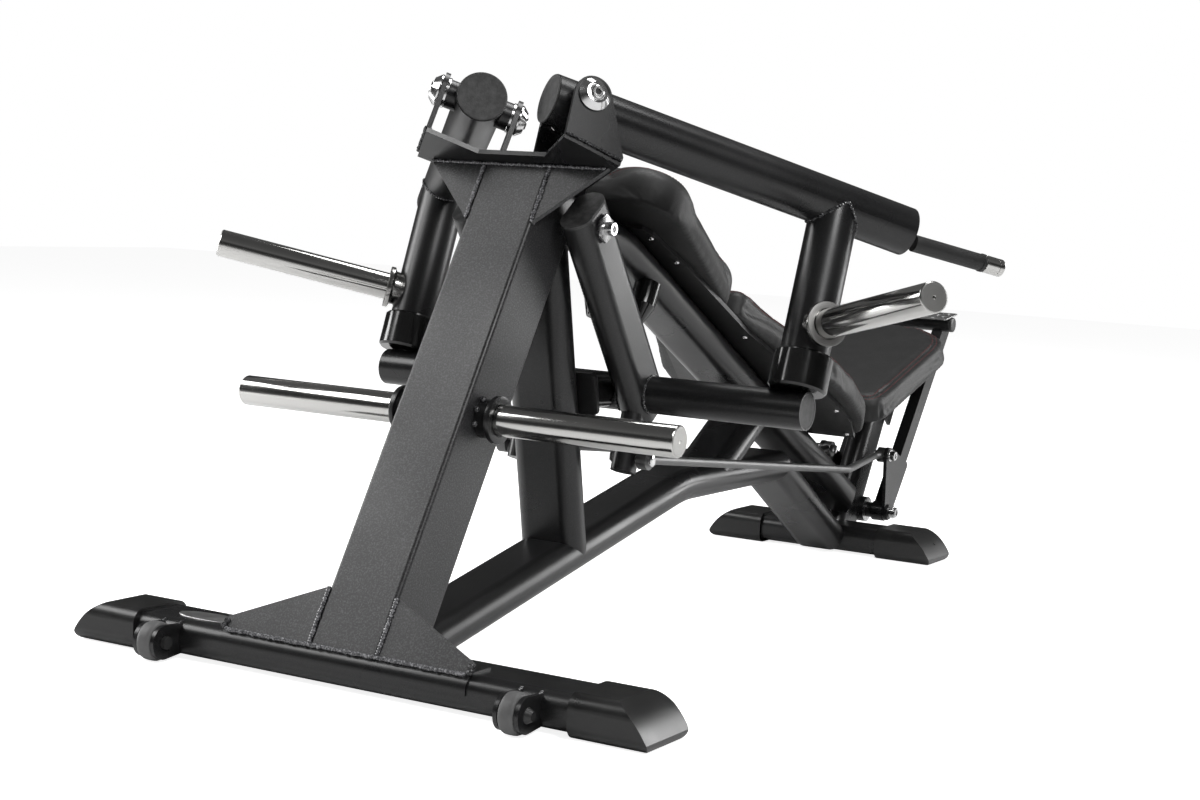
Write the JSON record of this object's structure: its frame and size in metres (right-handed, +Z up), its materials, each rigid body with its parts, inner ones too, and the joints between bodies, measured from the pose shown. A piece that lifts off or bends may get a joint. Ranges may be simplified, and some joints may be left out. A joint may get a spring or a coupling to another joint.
{
  "type": "plate-loaded press machine",
  "caption": "Plate-loaded press bench with converging swing arms, weight horns, storage horns, reclined back pad, seat and a foot-operated start lever",
  "frame": {"origin": "floor, under the middle of the machine's bounding box", "axes": "+Y from the mast to the foot lever, the way the user faces; +X to the right seen from behind the mast; +Z up"},
  "size_m": [1.4226, 2.3471, 0.9473],
  "materials": {
    "powder_coat": "satin black powder coat",
    "gloss_bumper": "glossy black",
    "cap_rubber": "matte black",
    "wheel_tyre": "dark grey",
    "horn_steel": "polished along the bar",
    "bright_bolt": "bright plated",
    "plug_rubber": "grained",
    "leatherette": "black with dark red stitching",
    "board_plastic": "black shell",
    "grip_rubber": "matte black",
    "tread_steel": "raised tread",
    "rod_steel": "grey satin"
  },
  "bodies": {
    "frame": {"rear_foot": "powder_coat", "front_foot": "powder_coat", "foot_caps": "cap_rubber", "wheel_forks": "powder_coat", "wheel_axles": "bright_bolt", "mast": "powder_coat", "mast_gussets": "powder_coat", "mast_saddle": "powder_coat", "pivot_bracket": "powder_coat", "spine": "powder_coat", "front_leg": "powder_coat", "rear_post": "powder_coat", "back_beam": "powder_coat", "back_beam_strut": "powder_coat", "back_board": "board_plastic", "board_screws": "bright_bolt", "upper_back_pad": "leatherette", "lower_back_pad": "leatherette", "seat_cushion": "leatherette", "seat_post": "powder_coat", "seat_bracket": "powder_coat", "lever_housing": "powder_coat", "lever_shaft": "bright_bolt", "storage_horns": "horn_steel", "storage_horn_collars": "bright_bolt", "lift_shaft": "bright_bolt", "rest_stop_plate": "powder_coat", "top_bumpers": "cap_rubber"},
    "transport_wheel_left": {"transport_wheel_left": "wheel_tyre"},
    "transport_wheel_right": {"transport_wheel_right": "wheel_tyre"},
    "pivot_bolt_left": {"pivot_bolt_left": "bright_bolt"},
    "pivot_bolt_right": {"pivot_bolt_right": "bright_bolt"},
    "press_arm_left": {"arm_tube_left": "powder_coat", "arm_plug_left": "plug_rubber", "down_tube_left": "powder_coat", "stop_block_left": "gloss_bumper", "weight_horn_left": "horn_steel", "weight_horn_collar_left": "bright_bolt", "grip_left": "grip_rubber", "grip_cap_left": "horn_steel"},
    "press_arm_right": {"arm_tube_right": "powder_coat", "arm_plug_right": "plug_rubber", "down_tube_right": "powder_coat", "stop_block_right": "gloss_bumper", "weight_horn_right": "horn_steel", "weight_horn_collar_right": "bright_bolt", "grip_right": "grip_rubber", "grip_cap_right": "horn_steel"},
    "lift_frame": {"hangers": "powder_coat", "hanger_feet": "powder_coat", "lift_frame_caps": "cap_rubber", "lift_beam": "powder_coat", "hanger_foot_nuts": "bright_bolt", "rest_bumpers": "cap_rubber"},
    "foot_lever": {"foot_levers": "powder_coat", "lever_rockers": "powder_coat", "pedal_bar": "powder_coat", "tread_plate": "tread_steel"},
    "link_rods": {"link_rods": "rod_steel", "link_rod_bolts": "bright_bolt"}
  },
  "joints": [
    {"name": "wheel_left_spin", "type": "hinge", "parent": "frame", "child": "transport_wheel_left", "pos_m": [-0.3315, -1.1325, 0.032], "axis": [1, 0, 0], "continuous": true},
    {"name": "wheel_right_spin", "type": "hinge", "parent": "frame", "child": "transport_wheel_right", "pos_m": [0.3315, -1.1325, 0.032], "axis": [1, 0, 0], "continuous": true},
    {"name": "foot_lever_push", "type": "hinge", "parent": "frame", "child": "foot_lever", "pos_m": [0, 0.8455, 0.076], "axis": [-1, 0, 0], "range_deg": [0, 40]},
    {"name": "lift_frame_swing", "type": "hinge", "parent": "frame", "child": "lift_frame", "pos_m": [0, -0.6115, 0.704], "axis": [1, 0, 0], "range_deg": [0, 14.47]},
    {"name": "link_rod_swing", "type": "hinge", "parent": "foot_lever", "child": "link_rods", "pos_m": [0, 0.8345, 0.206], "axis": [-1, 0, 0], "range_deg": [-36.86, 0]},
    {"name": "pivot_right_follow", "type": "hinge", "parent": "frame", "child": "pivot_bolt_right", "pos_m": [0.0942, -0.6537, 0.89413], "axis": [0.7826, -0.5407, 0.3084], "range_deg": [0, 9.45]},
    {"name": "pivot_left_follow", "type": "hinge", "parent": "frame", "child": "pivot_bolt_left", "pos_m": [-0.0942, -0.6537, 0.89413], "axis": [0.7826, 0.5407, -0.3084], "range_deg": [0, 9.45]},
    {"name": "press_arm_right_lift", "type": "hinge", "parent": "pivot_bolt_right", "child": "press_arm_right", "pos_m": [0.0942, -0.6537, 0.89413], "axis": [0.7826, -0.5407, 0.3084], "range_deg": [0, 45]},
    {"name": "press_arm_left_lift", "type": "hinge", "parent": "pivot_bolt_left", "child": "press_arm_left", "pos_m": [-0.0942, -0.6537, 0.89413], "axis": [0.7826, 0.5407, -0.3084], "range_deg": [0, 45]}
  ],
  "couplings": [
    {"joint": "lift_frame_swing", "follows": "foot_lever_push", "ratio": 0.3606},
    {"joint": "link_rod_swing", "follows": "foot_lever_push", "ratio": -0.9202},
    {"joint": "pivot_right_follow", "follows": "foot_lever_push", "ratio": 0.235},
    {"joint": "pivot_left_follow", "follows": "foot_lever_push", "ratio": 0.235}
  ]
}
